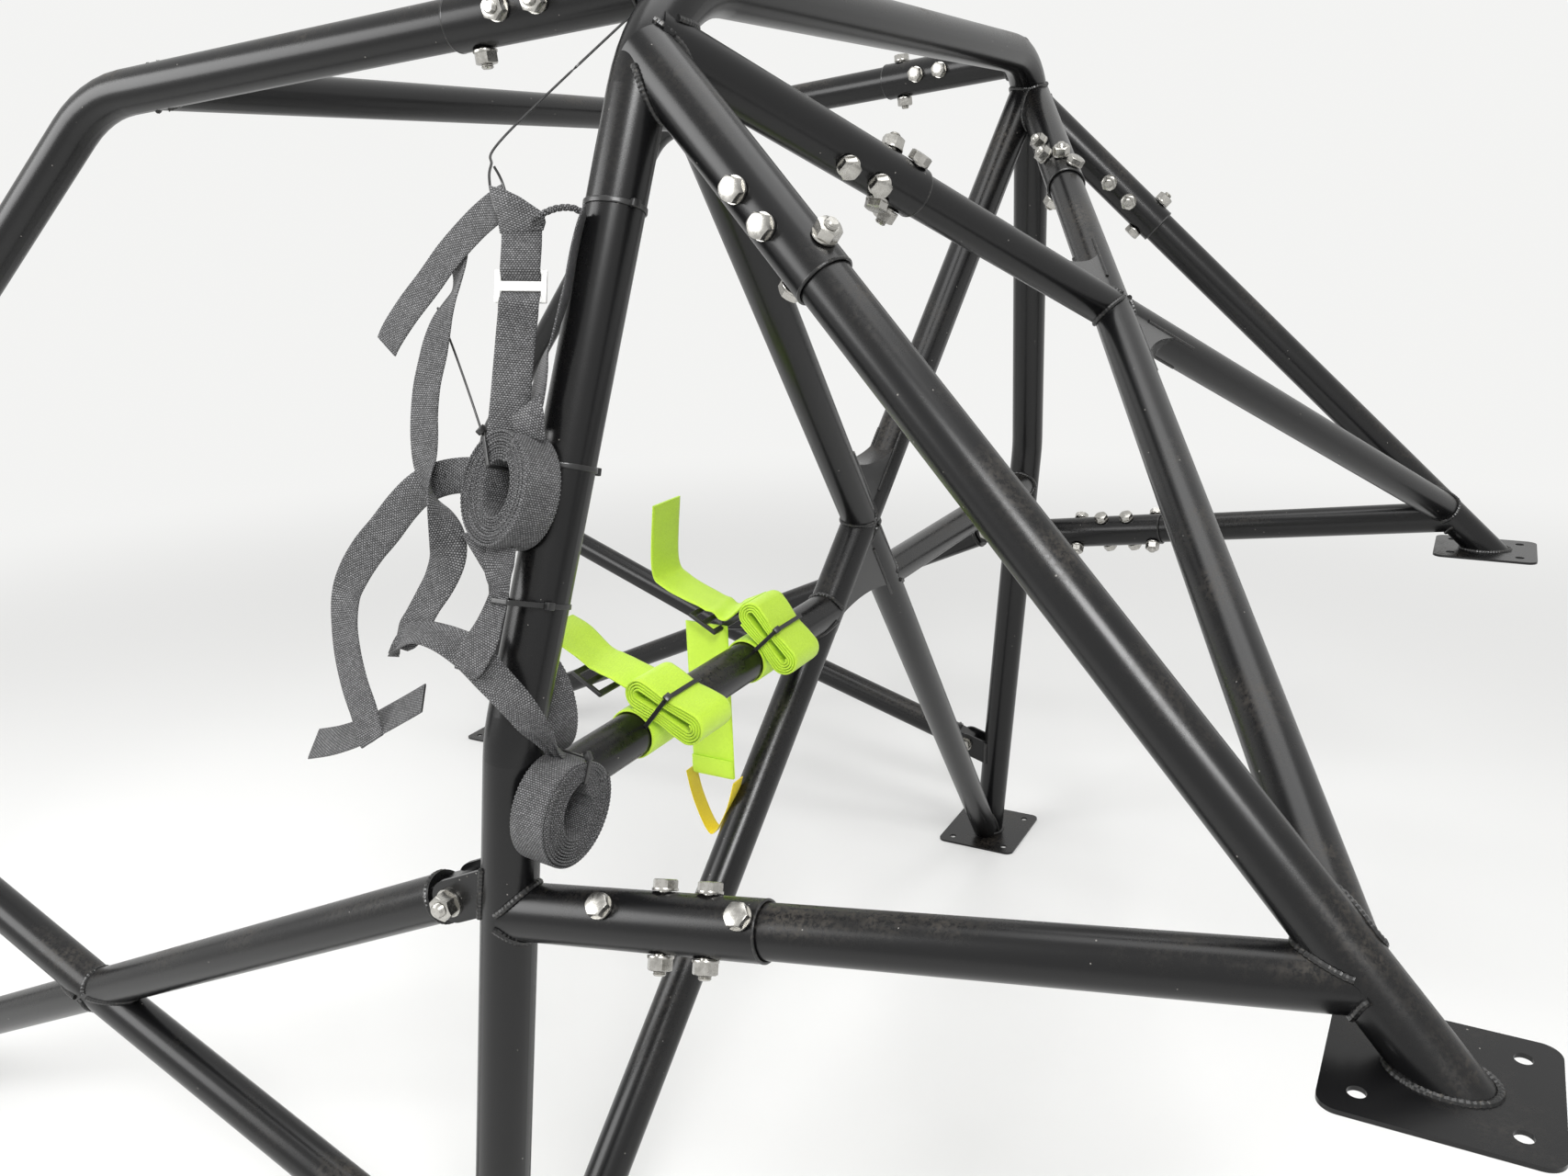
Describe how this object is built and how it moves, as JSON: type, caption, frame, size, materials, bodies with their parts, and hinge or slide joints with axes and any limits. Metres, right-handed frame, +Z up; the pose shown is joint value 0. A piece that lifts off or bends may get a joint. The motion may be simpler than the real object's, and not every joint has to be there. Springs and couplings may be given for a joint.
{
  "type": "hatchback roll cage",
  "caption": "Bolt-in tubular roll cage for a small hatchback, with crossed braces, side bars, door bars, foot plates, and a rolled-up window net and belts tied to it.",
  "frame": {"origin": "middle of the box that holds the whole cage, on the floor under its four lower feet", "axes": "+X to the left side of the car, +Y to its tail, +Z up"},
  "size_m": [1.446, 1.879, 1.2456],
  "materials": {
    "black_tube": "satin black powder coat over steel, with brown dust and small scuffs on upper faces",
    "zinc": "bright zinc-plated hexagon bolts and nuts",
    "net_webbing": "coarse black woven webbing",
    "buckle": "pale slide buckle",
    "belt_webbing": "lime yellow woven belt webbing",
    "adjuster": "black belt adjuster",
    "tie": "black cable ties"
  },
  "bodies": {
    "root": {"belt_adjusters": "adjuster", "belt_bands": "belt_webbing", "belt_rolls": "belt_webbing", "belt_straps": "belt_webbing", "brace_sleeve_left": "black_tube", "brace_sleeve_right": "black_tube", "door_bar_halves_left": "black_tube", "door_bar_halves_right": "black_tube", "door_bar_main_left": "black_tube", "door_bar_main_right": "black_tube", "door_forks_left": "black_tube", "door_forks_right": "black_tube", "front_foot_left": "black_tube", "front_foot_right": "black_tube", "front_hoop_left": "black_tube", "front_hoop_right": "black_tube", "harness_bar_left": "black_tube", "harness_bar_right": "black_tube", "hoop_diagonal_lower": "black_tube", "hoop_diagonal_main": "black_tube", "hoop_diagonal_upper": "black_tube", "hoop_gussets": "black_tube", "main_foot_left": "black_tube", "main_foot_right": "black_tube", "main_hoop": "black_tube", "net_buckle": "buckle", "net_rolls": "net_webbing", "net_straps": "net_webbing", "rear_brace_lower": "black_tube", "rear_brace_main": "black_tube", "rear_brace_upper": "black_tube", "rear_foot_left": "black_tube", "rear_foot_right": "black_tube", "rear_gussets": "black_tube", "rear_stay_left": "black_tube", "rear_stay_right": "black_tube", "roof_sleeve_left": "black_tube", "roof_sleeve_right": "black_tube", "screen_bar": "black_tube", "side_bar_left": "black_tube", "side_bar_right": "black_tube", "side_sleeve_left": "black_tube", "side_sleeve_right": "black_tube", "stay_sleeve_left": "black_tube", "stay_sleeve_right": "black_tube"}
  },
  "joints": []
}
